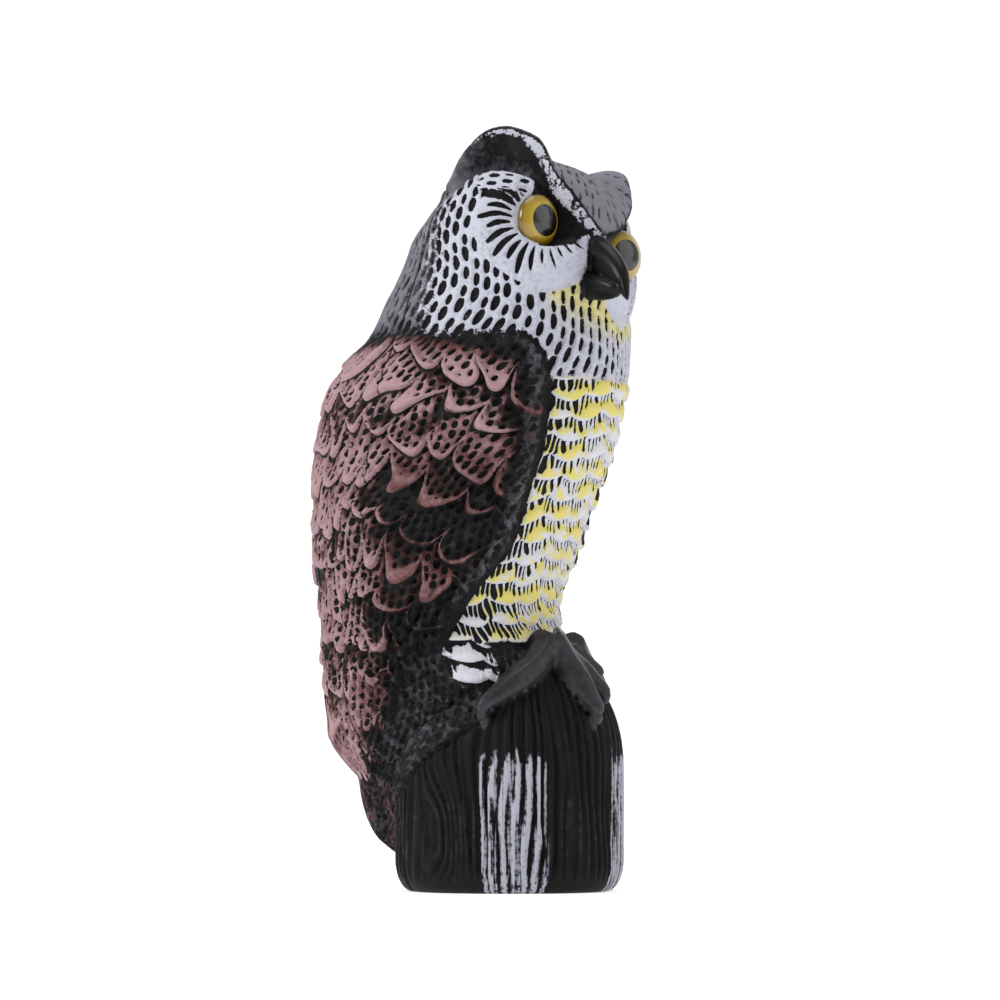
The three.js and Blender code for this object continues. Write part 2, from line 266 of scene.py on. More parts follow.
def trunk_point(turn, height, lift=0):
    half_width, front, back, squareness = trunk_at(height)
    half_depth = (back - front) / 2
    across, ahead = np.sin(turn), np.cos(turn)
    reach = (np.abs(across) ** squareness + np.abs(ahead) ** squareness) ** (-1 / squareness)
    out = np.hypot(across / half_width, ahead / half_depth)
    x = half_width * PART * across * reach + across / half_width / out * lift
    y = (front + back) / 2 * PART - half_depth * PART * ahead * reach - ahead / half_depth / out * lift
    return np.stack([x, y, np.broadcast_to(STUMP_HEIGHT + height * PART, x.shape)], axis=-1)


def head_direction(angle, height):
    a, h = np.radians(angle), np.radians(height)
    return np.stack([np.sin(a) * np.cos(h), -np.cos(a) * np.cos(h), np.sin(h) + 0 * a], axis=-1)


def head_reach(angle, height):
    away = np.abs(angle)
    boxy = mix(3, 1.45, rise(away, 60, 118))
    depth = mix(HEAD_FRONT, HEAD_BACK, rise(away, 70, 110))
    side = mix(HEAD_SIDE, HEAD_BACK, rise(away, 80, 120))
    level = np.hypot(np.sin(np.radians(angle)) / side, np.cos(np.radians(angle)) / depth)
    upright = np.abs(np.sin(np.radians(height))) / np.where(height > 0, HEAD_UP, HEAD_DOWN)
    egg = ((level * np.cos(np.radians(height))) ** boxy + upright**boxy) ** (-1 / boxy)
    rim_height, rim_reach = rim_at(away)
    above = height - rim_height
    near = np.where(above > 0, hump(above, 0, 12), 1 - rise(-above, 0, 6))
    hollow = hollow_at(away) * rise(-above, 1, 7) * (1 - rise(-above, 9, 19))
    skull = egg - hollow + CROWN_SWELL * hump(height, 52, 12) * (1 - rise(away, 50, 90))
    from_eye = np.hypot((away - EYE_ANGLE - 2) * 0.9, height - EYE_RISE + 3)
    under = rise(away, 3, 9) * rise(-above, 2, 8) * (1 - rise(height, 0, 16))
    disc = DISC_STEP * (1 - rise(from_eye, 27, 29.5)) * under
    dish = EYE_DISH * (1 - rise(np.hypot(away - EYE_ANGLE, height - EYE_RISE), 8, 24))
    return mix(skull + disc - dish, rim_reach, near * (1 - rise(away, 94, 112)))


def in_head(points):
    """Points given from the head's middle, brought to where the head sits and turns."""
    pose = np.array(HEAD_POSE)
    return points @ pose[:3, :3].T + pose[:3, 3]


def neck_point(turn, height):
    twist = math.radians(HEAD_TURN) * (1 - rise(height, 76, 50))
    return trunk_point(turn - twist, height, wing_lift(np.degrees(turn), height))


def head_row(turn, share):
    """One ring of the head: the crown for shares below 0, brow to cheeks and neck from 0 to 1."""
    angle = np.degrees(turn)
    rim = rim_at(np.abs(angle))[0]
    height = mix(rim, 90, -share) if share < 0 else mix(rim, CHEEK_FOOT, share)
    point = in_head(head_direction(angle, height) * (head_reach(angle, height) * PART)[:, None])
    if share < 0:
        return point
    behind = rise(np.abs(angle), 60, 120)
    melt = rise(share, mix(0.6, 0.25, behind), mix(1, 0.8, behind))
    return mix(point, neck_point(turn, mix(80, 62, share)), melt[:, None])


def skin(form, columns, rows):
    """A closed skin through rings, each a function of the turn; the first and last are single points."""
    turns = (np.arange(columns) / columns * 2 + 1) % 2 - 1
    rings = [row(turns * math.pi) for row in rows]
    ball = bmesh.ops.create_uvsphere(form, u_segments=columns, v_segments=len(rows) - 1, radius=1)
    for vert in ball["verts"]:
        x, y, z = vert.co
        row = round(math.acos(max(-1, min(1, z))) / math.pi * (len(rows) - 1))
        column = round(math.atan2(x, -y) / (2 * math.pi) * columns) % columns
        vert.co = Vector(rings[row][column]) * MM


def limb_line(points, radii, steps):
    """Even places along a tapered limb: the middle line and the radius there."""
    points = np.array(points, float)
    lengths = np.linalg.norm(np.diff(points, axis=0), axis=1)
    places = np.concatenate([[0], np.cumsum(lengths)]) / lengths.sum()
    share = np.linspace(0, 1, steps)
    line = through(np.column_stack([places, points]))(share).T
    radius = through(np.column_stack([np.linspace(0, 1, len(radii)), radii]))(share)
    return line, radius


def limb(form, line, radius, columns=24, flatness=1):
    """A tapered tube round a line, closed to a point at both ends."""
    along = np.gradient(line, axis=0)
    along /= np.linalg.norm(along, axis=1)[:, None]
    side = np.cross(along, along[0] * 0 + (0, 0, 1))
    side /= np.linalg.norm(side, axis=1)[:, None]
    up = np.cross(side, along)
    rings = [lambda turn: np.tile(line[0], (len(turn), 1))]
    for k in range(1, len(line) - 1):
        def ring(turn, k=k):
            return (
                line[k]
                + np.outer(np.cos(turn) * radius[k] * flatness, side[k])
                + np.outer(np.sin(turn) * radius[k], up[k])
            )
        rings.append(ring)
    rings.append(lambda turn: np.tile(line[-1], (len(turn), 1)))
    skin(form, columns, rings)


def stump_ring(radius, height):
    return lambda turn: np.stack(
        [np.sin(turn) * radius, -np.cos(turn) * radius, 0 * turn + height], axis=-1
    )


def dome_radius(height):
    share = np.clip(1 - (STUMP_HEIGHT - height) / STUMP_DOME, 0, 1)
    return STUMP_RADIUS * (1 - share**DOME_SQUARENESS) ** (1 / DOME_SQUARENESS)


def stump_rings():
    rings = [stump_ring(0, STUMP_HEIGHT)]
    for share in np.sin(np.linspace(math.pi / 2, 0, 40))[1:]:
        height = STUMP_HEIGHT - STUMP_DOME * (1 - share)
        rings.append(stump_ring(dome_radius(height), height))
    for height in np.linspace(STUMP_HEIGHT - STUMP_DOME, BASE_EDGE_RISE, 20)[1:]:
        rings.append(stump_ring(STUMP_RADIUS, height))
    for bend in np.linspace(math.pi / 2, 0, 12)[1:]:
        radius = STUMP_RADIUS - BASE_EDGE_INSET * (1 - math.sin(bend))
        rings.append(stump_ring(radius, BASE_EDGE_RISE * (1 - math.cos(bend))))
    rings.extend(stump_ring(STUMP_RADIUS - BASE_EDGE_INSET - step, 0) for step in (10, 25, 40))
    rings.append(stump_ring(0, 0))
    return rings


# Toes: angle round from the owl's front, and how far the claw reaches down the dome.
TOES = {-1: [(-17, 0.64), (-3, 0.47), (-80, 0.61)], 1: [(25, 0.27), (50, 0.45), (80, 0.61)]}
ANKLE_SIDE = 12
ANKLE_FRONT = 28


def on_dome(angle, height, lift):
    away = dome_radius(height) + lift
    turn = math.radians(angle)
    return (math.sin(turn) * away, -math.cos(turn) * away, height)


def toe_lines():
    for side, spread in TOES.items():
        ankle = (side * ANKLE_SIDE, -ANKLE_FRONT, STUMP_HEIGHT + 0.3 * TOE_RADIUS)
        ankle_angle = math.degrees(math.atan2(ankle[0], -ankle[1]))
        for angle, drop in spread:
            end = STUMP_HEIGHT - drop * STUMP_DOME
            knuckle = mix(end, STUMP_HEIGHT, 0.38)
            points = [
                ankle,
                on_dome(mix(ankle_angle, angle, 0.45), mix(knuckle, STUMP_HEIGHT, 0.55), 0.45 * TOE_RADIUS),
                on_dome(mix(ankle_angle, angle, 0.85), knuckle, 0.45 * TOE_RADIUS),
                on_dome(angle, mix(knuckle, end, 0.5), 0.7 * TOE_RADIUS),
                on_dome(angle, end, 0.1 * TOE_RADIUS),
            ]
            yield limb_line(points, np.array([1.2, 1.05, 1, 0.65, 0.3]) * TOE_RADIUS, 30)


def beak_lines():
    hook = [(0, -17, 0), (0, -22.5, -0.4), (0, -26.8, -2.4), (0, -30.6, -5.6), (0, -34.2, -10.6)]
    jaw = [(0, -21, -6.2), (0, -27.2, -7.2), (0, -31, -7.6)]
    for points, radii in ((hook, [3.1, 3.3, 3.1, 2.2, 0.3]), (jaw, [2.4, 2.8, 1.9])):
        yield limb_line(in_head(np.array(points) * PART), np.array(radii) * PART, 40)


# Tail: height, half width, front and back of the flat tongue behind the stump.
tail_at = through([
    (-40, 5, 14, 23),
    (-36.5, 8, 12, 26.8),
    (-31, 10, 14, 28.8),
    (-24, 11.5, 16, 29.8),
    (-16, 13.5, 22, 32.5),
    (-8, 14, 26, 34),
])


def tail_ring(height, swell=1):
    def ring(turn):
        half_width, front, back = tail_at(height)
        across, ahead = np.sin(turn), np.cos(turn)
        reach = swell * (np.abs(across) ** 3 + np.abs(ahead) ** 3) ** (-1 / 3)
        x = half_width * PART * across * reach
        y = (front + back) / 2 * PART - (back - front) / 2 * PART * ahead * reach
        return np.stack([x, y, 0 * x + STUMP_HEIGHT + height * PART], axis=-1)

    return ring


moulding_form = bmesh.new()
crown_rows = [lambda turn, s=s: head_row(turn, -s) for s in np.linspace(1, 0.02, 34)]
face_rows = [lambda turn, s=s: head_row(turn, s) for s in np.linspace(0, 0.86, 70)]
trunk_rows = [lambda turn, h=h: neck_point(turn, h) for h in np.linspace(61.5, TRUNK_FOOT + 0.4, 130)]
foot_point = [lambda turn: np.tile(trunk_point(turn, TRUNK_FOOT).mean(axis=0), (len(turn), 1))]
skin(moulding_form, 240, crown_rows + face_rows + trunk_rows + foot_point)
skin(moulding_form, 120, stump_rings())
tail_rows = [tail_ring(h) for h in np.linspace(TAIL_TOP, TAIL_FOOT, 24)]
skin(moulding_form, 48, [tail_ring(TAIL_TOP, 0)] + tail_rows + [tail_ring(TAIL_FOOT, 0)])
toe_middles = list(toe_lines())
beak_middles = list(beak_lines())
for line, radius in toe_middles:
    limb(moulding_form, line, radius)
for line, radius in beak_middles:
    limb(moulding_form, line, radius, flatness=0.75)
bmesh.ops.recalc_face_normals(moulding_form, faces=moulding_form.faces)
moulding_mesh = bpy.data.meshes.new("owl_and_stump")
moulding_form.to_mesh(moulding_mesh)
moulding_form.free()
moulding = bpy.data.objects.new("owl_and_stump", moulding_mesh)
bpy.context.scene.collection.objects.link(moulding)


def finish_modifiers(piece):
    """The piece's mesh becomes what its modifiers make of it."""
    bpy.context.view_layer.update()
    made = bpy.data.meshes.new_from_object(piece.evaluated_get(bpy.context.evaluated_depsgraph_get()))
    piece.modifiers.clear()
    piece.data = made


melt = moulding.modifiers.new("melt", "REMESH")
melt.mode = "VOXEL"
melt.voxel_size = SKIN_GRAIN * MM
finish_modifiers(moulding)


def read_points(mesh):
    points = np.zeros(len(mesh.vertices) * 3)
    mesh.vertices.foreach_get("co", points)
    return points.reshape(-1, 3) / MM


def read_normals(mesh):
    normals = np.zeros(len(mesh.vertices) * 3)
    mesh.vertex_normals.foreach_get("vector", normals)
    return normals.reshape(-1, 3)


def soften(mesh, points, times):
    """Each point moves halfway to the middle of its neighbours."""
    ends = np.zeros(len(mesh.edges) * 2, int)
    mesh.edges.foreach_get("vertices", ends)
    one, other = ends[::2], ends[1::2]
    count = np.bincount(one, minlength=len(points)) + np.bincount(other, minlength=len(points))
    for _ in range(times):
        total = np.zeros_like(points)
        for k in range(3):
            total[:, k] = np.bincount(one, points[other, k], len(points))
            total[:, k] += np.bincount(other, points[one, k], len(points))
        points = mix(points, total / count[:, None], 0.5)
    return points


# The pattern functions below take numbers over the mesh, to carve it, or shader sockets, to paint it,
# so that every dab of paint lies on the feather or round the pit that it belongs to.
def fraction(value):
    return np.remainder(value, 1)


def pits(across, down, wide, tall, stray=0.1):
    """Oval pits, one in each cell of a grid with staggered columns: 1 inside a pit, 0 between."""
    column = np.floor(across)
    down = down + 0.382 * column
    row = np.floor(down)
    chance = np.sin(row * 12.7 + column * 5.3)
    other = np.sin(row * 4.1 - column * 9.7)
    x = (across - column - 0.5 + stray * chance) / wide
    y = (down - row - 0.5 + stray * other) / tall
    away = np.sqrt(x * x + y * y)
    return 1 - rise(away + 0.17 * other, 0.84, 1.08)


def feather_row(across, level, sag, blunt=0.0):
    """Overlapping feathers: how far a place is down its feather and above its edge, and a chance for each."""

    def column(row):
        return across + 0.5 * (row - 2 * np.floor(row * 0.5)) + 0.12 * np.sin(row * 2.1)

    def edge(row):
        place = column(row)
        bow = (2 * fraction(place) - 1) * (2 * fraction(place) - 1)
        uneven = 0.22 * blunt * np.sin(row * 5.9 + np.floor(place) * 3.7)
        return row + 1 + uneven + sag * (1 - bow) * (1 + blunt * bow)

    row = np.floor(level)
    row = row - np.greater(edge(row - 1), level)
    return level - edge(row - 1), edge(row) - level, np.sin(row * 8.3 + np.floor(column(row)) * 5.7)


FEATHERS_ROUND = 20
FIRST_ROW = 52
ROW_PITCH = 3.9
BREAST_SAG = 0.32
WING_SAG = 0.6
STROKES_TO_FEATHER = 6
WING_PITS_ROUND = 86
NECK_PITS_ROUND = 66
FACE_RAYS = 27


def breast_feathers(turns, height):
    """Turns are counted from the breast's middle; strokes are the black grooves at each feather's top."""
    across = turns * FEATHERS_ROUND
    wave = 0.16 * np.sin(across * 1.3 + 1) + 0.1 * np.sin(across * 3.1 + height * 0.2)
    level = (FIRST_ROW - height) / ROW_PITCH + wave
    down, up, chance = feather_row(across + 0.2 * np.sin(level * 1.9), level, BREAST_SAG)
    teeth = across * STROKES_TO_FEATHER + 0.25 * np.sin(across * 9 + level * 2.6)
    tooth = np.floor(teeth)
    gap = 1 - np.abs(2 * fraction(teeth) - 1)
    aside = rise(np.abs(turns) * 360, 12, 40)
    length = 0.48 + 0.22 * aside + 0.14 * np.sin(tooth * 5.1 + chance * 9)
    share = 0.38 + 0.36 * aside + 0.12 * np.sin(tooth * 3.3)
    strokes = rise(gap + share, 0.9, 1.06) * (1 - rise(down - length + 0.2 * (1 - gap), -0.02, 0.08))
    return down, up, strokes, chance


def wing_feathers(turns, height):
    """Feathers that slant back and down over the wing, alike on both sides."""
    fallen = (FIRST_ROW + 5 - height) / (2 * ROW_PITCH)
    across = np.abs(turns) * FEATHERS_ROUND
    steep = 1 - rise(across, 5.4, 7.2)
    bend = 0.24 * np.sin(fallen * 2.7 + across * 1.1) + 0.14 * np.sin(across * 4.3 - fallen * 1.9)
    wave = 0.16 * np.sin(across * 2.1 + fallen * 3.3) + 0.08 * np.sin(across * 4.9 - fallen * 2.2)
    level = fallen + 0.42 * (across - 5) * steep + wave
    return feather_row(across - 0.42 * fallen * steep + bend, level, WING_SAG, 0.5)


def wing_pits(turns, height):
    bend = 0.5 * np.sin(height * 0.21) + 0.3 * np.sin(height * 0.13 + turns * 37)
    across = np.abs(turns) * WING_PITS_ROUND + height * 0.1 + bend
    return pits(across, height * 0.52 + 0.3 * np.sin(turns * 61), 0.31, 0.38, 0.12)


def neck_pits(turns, height):
    """Upright oval pits on cheeks and neck, drawn out to thin dashes in front."""
    ahead = 1 - rise(np.abs(turns + 0.04) * 360, 20, 50)
    return pits(
        turns * NECK_PITS_ROUND + 0.3 * np.sin(height * 0.33 + turns * 20),
        height * 0.31 + 0.25 * np.sin(turns * 47),
        0.34 - 0.08 * ahead,
        0.42 + 0.05 * ahead,
    )


def crown_pits(x, y):
    return pits((x + 0.5 * y) * 0.19, (y - 0.3 * x) * 0.13, 0.2, 0.3, 0.2)


def patch_pits(out, up):
    """Level pits in the white patch over an eye's outer corner, by degrees out from the eye and up."""
    return pits(out / 8.5 + 0.2, up / 5 + 0.4, 0.35, 0.31)


def disc_away(out, up):
    return np.sqrt(0.81 * (out - 2) * (out - 2) + (up + 3) * (up + 3))


def face_strokes(out, up):
    """Grooves that run out from an eye."""
    away = np.sqrt(out * out + up * up)
    ray = np.arctan2(out, 0 - up) * (FACE_RAYS / (2 * math.pi)) + 0.16 * np.sin(away * 0.25) + 0.3
    tooth = 1 - np.abs(2 * fraction(ray) - 1)
    number = np.floor(ray)
    outward = rise(out / away, -0.45, 0.4)
    start = 14.6 + 0.7 * np.sin(number * 3.9)
    end = 23 + 5.5 * outward + 2.4 * np.sin(number * 2.3)
    over = rise(up, 3, 8)
    along = (away - start) / (end + 5 * over - start)
    ends = (2 * along - 1) * (2 * along - 1)
    length = rise(away, start - 0.5, start + 0.5) * (1 - rise(along, 0.96, 1.04)) * (1 - rise(up, 11, 13))
    strokes = rise(tooth + 0.26 + 0.33 * outward + 0.3 * over - 0.36 * ends, 0.93, 1.05)
    return strokes * length


def disc_groove(out, up):
    """The groove that sets off the lower edge of the white disc round an eye."""
    lower = rise(0 - up, 8, 20) * (1 - rise(out, -12, 3)) * rise(out + EYE_ANGLE, 5, 14)
    return hump(disc_away(out, up), 31, 1.6) * lower


BARK_RIBS = 66
BARK_PITCH = 2 * math.pi * STUMP_RADIUS / BARK_RIBS
KNOT_TURN = -100 / 360


def bark(turns, z):
    """Upright grooves that wander a little, and bow round an old knot on the side."""
    side = (turns - KNOT_TURN) * 2 * math.pi * STUMP_RADIUS
    bow = 13 * hump(side, -3, 13) * rise(70 - z, 0, 34) * rise(z, -10, 26)
    wave = 0.28 * np.sin(z * 0.045 + turns * 31) + 0.09 * np.sin(z * 0.12 + turns * 83)
    fork = 0.34 * rise(np.sin(turns * 173), 0.5, 0.9) * rise(np.sin(z * 0.05 + turns * 57), -0.3, 0.3)
    line = turns * BARK_RIBS + wave + fork - bow / BARK_PITCH
    faint = 0.5 * rise(np.sin(np.floor(line + 0.5) * 7.3 + z * 0.03), 0.2, 0.8)
    return np.maximum(np.abs(np.sin(line * math.pi)), faint)


# Parting line of the mould, seen from the side: height, and how far behind the stump's middle it runs.
# Within the gap either side of the middle it is thinned until it hardly shows.
SEAM_GAP = 12
seam_at = through([
    (0, 38),
    (49, 50),
    (80, 66),
    (105, 72),
    (150, 62),
    (194, 50),
    (250, 44),
    (305, 34),
    (336, 26),
    (368, 20),
    (400, 16),
])


# Lower edge of the wings where they lap over the stump: angle round the stump, and height.
lap_at = through([
    (58, 134),
    (71, 99),
    (84, 88),
    (107, 74),
    (148, 47),
    (180, 40),
])

# Degrees by which the breast runs over the left wing's front lip.
LIP_COVER = 7

# A distance that keeps a point off a form that doesn't reach it.
FAR_OFF = 1e3


def limb_distance(points, middles):
    """How far points are outside the nearest of some limbs."""
    nearest = np.full(len(points), FAR_OFF)
    for line, radius in middles:
        close = np.where(np.linalg.norm(points - line.mean(axis=0), axis=1) < 90)[0]
        for middle, size in zip(line, radius):
            away = np.linalg.norm(points[close] - middle, axis=1) - size
            nearest[close] = np.minimum(nearest[close], away)
    return nearest


def places(points):
    """Where each point lies on the owl: round and up the trunk, on the head, and on which form."""
    spot = {"x": points[:, 0], "y": points[:, 1], "z": points[:, 2]}
    height = (points[:, 2] - STUMP_HEIGHT) / PART
    half_width, front, back, squareness = trunk_at(height)
    half_depth = (back - front) / 2
    across = points[:, 0] / (half_width * PART)
    ahead = ((front + back) / 2 * PART - points[:, 1]) / (half_depth * PART)
    spot["turn"] = np.arctan2(across, ahead)
    out = (np.abs(across) ** squareness + np.abs(ahead) ** squareness) ** (1 / squareness)
    trunk = (out - 1) * np.minimum(half_width, half_depth) * PART + FAR_OFF * (height < TRUNK_FOOT)
    spot["height"] = height
    angle = np.degrees(spot["turn"])
    over_lip = LIP_COVER * rise(angle, 10, 30) * rise(height, 2, 10) * (1 - rise(height, 46, 52))
    spot["wing"] = np.abs(angle) - wing_edge_at(height) - over_lip

    pose = np.array(HEAD_POSE.inverted())
    head = points @ pose[:3, :3].T + pose[:3, 3]
    reach = np.linalg.norm(head, axis=1)
    spot["head"] = head
    spot["head_angle"] = np.degrees(np.arctan2(head[:, 0], -head[:, 1]))
    spot["head_rise"] = np.degrees(np.arcsin(np.clip(head[:, 2] / reach, -1, 1)))
    spot["above"] = spot["head_rise"] - rim_at(np.abs(spot["head_angle"]))[0]
    spot["from_eye"] = np.abs(spot["head_angle"]) - EYE_ANGLE
    spot["over_eye"] = spot["head_rise"] - EYE_RISE

    round_stump = np.hypot(points[:, 0], points[:, 1]) / STUMP_RADIUS
    up_dome = np.clip((points[:, 2] - STUMP_HEIGHT + STUMP_DOME) / STUMP_DOME, 0, None)
    dome_out = (round_stump**DOME_SQUARENESS + up_dome**DOME_SQUARENESS) ** (1 / DOME_SQUARENESS)
    stump = (dome_out - 1) * STUMP_RADIUS
    half_width, front, back = tail_at(height)
    tail_out = (
        np.abs(points[:, 0] / (half_width * PART)) ** 3
        + np.abs((points[:, 1] - (front + back) / 2 * PART) / ((back - front) / 2 * PART)) ** 3
    ) ** (1 / 3)
    off_tail = (height > TAIL_TOP) | (height < TAIL_FOOT - 1)
    tail = (tail_out - 1) * half_width * PART + FAR_OFF * off_tail
    owl = np.minimum(np.where(height > 50, -5, trunk - 4 * rise(spot["wing"], -3, 3)), tail)
    foot = limb_distance(points, toe_middles)
    hook, jaw = [limb_distance(points, [middle]) for middle in beak_middles]
    beak = np.minimum(hook, jaw)
    spot["mouth"] = hump(hook - jaw, 0, 0.9) * (beak < 2)
    round_angle = np.abs(np.degrees(np.arctan2(points[:, 0], -points[:, 1])))
    below_lap = lap_at(round_angle) - points[:, 2]
    spot["stump"] = rise(np.minimum(owl, foot - 0.6) - stump, 0.2, 2) * rise(below_lap, -0.5, 0.5)
    spot["lap"] = rise(owl - stump, 0.2, 2) * rise(foot, 0, 2) * rise(-below_lap, -0.5, 0.5)
    spot["edge_line"] = hump(below_lap, 1, 1.3) * rise(foot, 1, 3) * rise(owl - stump, -1, 1) * (height < 0)
    spot["edge"] = hump(owl - stump, 0.5, 1.3) * rise(foot, 1, 3) * (height < 8) * rise(below_lap, -3, 0)
    spot["beak"] = rise(0.9 - beak, 0, 0.6)
    on_foot = rise(np.minimum(owl, stump) - foot, -0.6, 1.2) * (height < 12)
    spot["foot"] = np.clip(on_foot + spot["beak"], 0, 1)
    spot["tail"] = rise(trunk - tail, 0, 2) * (height < TAIL_TOP)
    return spot


# Lower edge of the black eye socket: degrees from the eye towards the beak, and up.
socket_edge_at = through([
    (-10, -13.5),
    (0, -13.8),
    (9, -12.5),
    (19, -8),
    (23, -3),
    (29, 0),
    (60, 2),
])


# Heights where the breast's feathers and the wings' brown end, and the yellow chin's height in millimetres.
BREAST_TOP = 50
COLLAR_FRONT = 52
COLLAR_BACK = 58
CHIN_HEIGHT = 298


def regions(spot):
    """How strongly each part of the carving and each paint shows, from 0 to 1."""
    height, wing, above = spot["height"], spot["wing"], spot["above"]
    head_angle, angle = np.abs(spot["head_angle"]), np.abs(np.degrees(spot["turn"]))
    in_front = spot["head"][:, 1] < 0
    owl = (1 - spot["stump"]) * (1 - spot["foot"])
    on_head = rise(height, 56, 63)
    on_face = owl * on_head * in_front
    out, up = spot["from_eye"], spot["over_eye"]
    away = np.hypot(out, up)
    part = {}
    part["wing"] = owl * rise(wing, -1.5, 1.5) * rise(WING_TOP + 1 - height, 0, 5)
    part["breast"] = owl * (1 - rise(wing, -5, -3)) * rise(height, -14, -11)
    part["breast"] *= 1 - rise(height, BREAST_TOP, BREAST_TOP + 1)
    part["crown"] = owl * on_head * rise(above, -0.4, 1.6)
    under_rim = rise(-above, 3.6, 5)
    ear_hollow = (1 - rise(-above, 13, 16)) * rise(head_angle, 15, 19)
    beside_eye = rise(-out, -1, 2) * rise(up - socket_edge_at(-out), -1, 1)
    over_lid = rise(-out, -8, -4) * rise(up, 8, 11)
    hollow = on_face * under_rim * np.maximum(np.maximum(beside_eye, over_lid), ear_hollow)
    bare = on_face * (1 - hollow)
    part["patch"] = bare * rise(up, 12, 13.5) * rise(-above, 5, 7)
    part["patch"] *= (1 - rise(-above, 30, 34)) * (1 - rise(head_angle, 64, 76))
    reach = mix(30, 27.5, rise(out / away, -0.3, 0.5))
    disc_out = disc_away(out, up)
    part["disc"] = bare * (1 - rise(disc_out, reach, reach + 1)) * (1 - part["patch"])
    part["disc"] = np.maximum(part["disc"], bare * (1 - rise(disc_out, 32, 33)) * (up < -6) * (out < 1))
    part["disc"] *= rise(-above, 4, 6)
    beside_wing = 1 - rise(wing, -4, 2) * rise(WING_TOP + 1 - height, 0, 4)
    part["neck"] = owl * rise(height, BREAST_TOP, BREAST_TOP + 1.5) * beside_wing
    under_ear = mix(13, 0, rise(head_angle, 84, 96))
    part["neck"] *= (
        rise(-above, under_ear, under_ear + 3) * (1 - part["disc"]) * (1 - hollow) * (1 - part["patch"])
    )
    face = (1 - rise(head_angle, 62, 112)) * rise(-above, 4, 6) * (1 - hollow)
    white = owl * rise(height, BREAST_TOP - 0.5, BREAST_TOP + 1) * face
    white *= 1 - rise(wing, -5, 0) * rise(WING_TOP + 2 - height, 0, 6)
    shade = rise(up, 5, 7) * (1 - rise(up, 11.5, 13)) * rise(away, 15, 18) * (1 - rise(away, 34, 46))
    white *= 1 - 0.45 * shade * in_front * on_head
    brow_foot = mix(-4.6, -2.2, rise(head_angle, 34, 50))
    brow = rise(above - brow_foot, 0, 0.8) * (1 - rise(above, -1.2, 0))
    brow = brow * (1 - rise(head_angle, 74, 82)) * on_head
    brow *= 1 - 0.8 * rise(spot["head_angle"], -2, 4)
    part["white"] = np.maximum(white, 0.57 * owl * brow * in_front)
    behind = rise(head_angle, 60, 96) * on_head * rise(-above, -6, 0)
    in_ear = 0.42 * hollow * rise(head_angle, 34, 44)
    part["grey"] = owl * np.clip(part["crown"] + 0.74 * behind + in_ear, 0, 1)
    part["band"] = part["wing"] * rise(wing, 0, 2) * (1 - rise(wing, 6, 9)) * rise(height, 2, 12)
    collar_line = mix(COLLAR_FRONT, COLLAR_BACK, rise(angle, 50, 110))
    collar = rise(height, collar_line - 3, collar_line + 3)
    brown = 0.25 * rise(height, 0, 12) + 0.48 * rise(height, 28, 46)
    brown = np.maximum(brown, 0.68 * rise(angle, 76, 108))
    brown *= (1 - 0.75 * (1 - rise(wing, 8, 17)) * (1 - rise(angle, 90, 110))) * (1 - collar)
    brown *= 1 - 0.55 * (1 - rise(height, -16, 2)) * (1 - rise(angle, 106, 122))
    part["brown"] = part["wing"] * brown * rise(height, -30, -24) + 0.12 * owl * spot["tail"]
    chin = 1.7 * hump(spot["z"], CHIN_HEIGHT + 0.4 * angle, 12)
    chin = chin * (1 - rise(angle, 46, 52)) * rise(height, 56, 60)
    part["yellow"] = np.clip(chin + part["breast"], 0, 1)
    flank = rise(height, -10, -7) * (1 - rise(height, -1, 2)) * hump(angle, 56, 12)
    part["dabs"] = part["breast"] * np.maximum(rise(height, -1, 2), flank)
    part["yellow"] *= (1 - part["disc"]) * rise(height, 0, 2)
    part["flank"] = part["breast"] * flank
    part["thigh"] = owl * (1 - rise(height, -3, 1)) * (1 - part["wing"]) * (1 - flank)
    thinning = np.where(np.abs(spot["x"]) > SEAM_GAP, 1, 9)
    part["seam"] = (spot["y"] - seam_at(spot["z"])) * thinning
    return part


# How far the carving stands out, sinks in or swells.
FEATHER_STEP = 1.9
STROKE_DEPTH = 0.7
LOBE_STEP = 2.8
LOBE_RIM = 1.5
BAND_SWELL = 2.6
WING_PIT_DEPTH = 1.9
BAND_PIT_DEPTH = 0.8
LINE_DEPTH = 1.2
NECK_PIT_DEPTH = 1.6
FACE_GROOVE_DEPTH = 1.3
PATCH_PIT_DEPTH = 1.3
CROWN_PIT_DEPTH = 0.6
THIGH_PIT_DEPTH = 1.5
THIGH_ARC_DEPTH = 2
LAP_STEP = 1.8
BARK_DEPTH = 2.8
MOUTH_DEPTH = 1.8
EDGE_DEPTH = 1.6
SEAM_DEPTH = 0.9


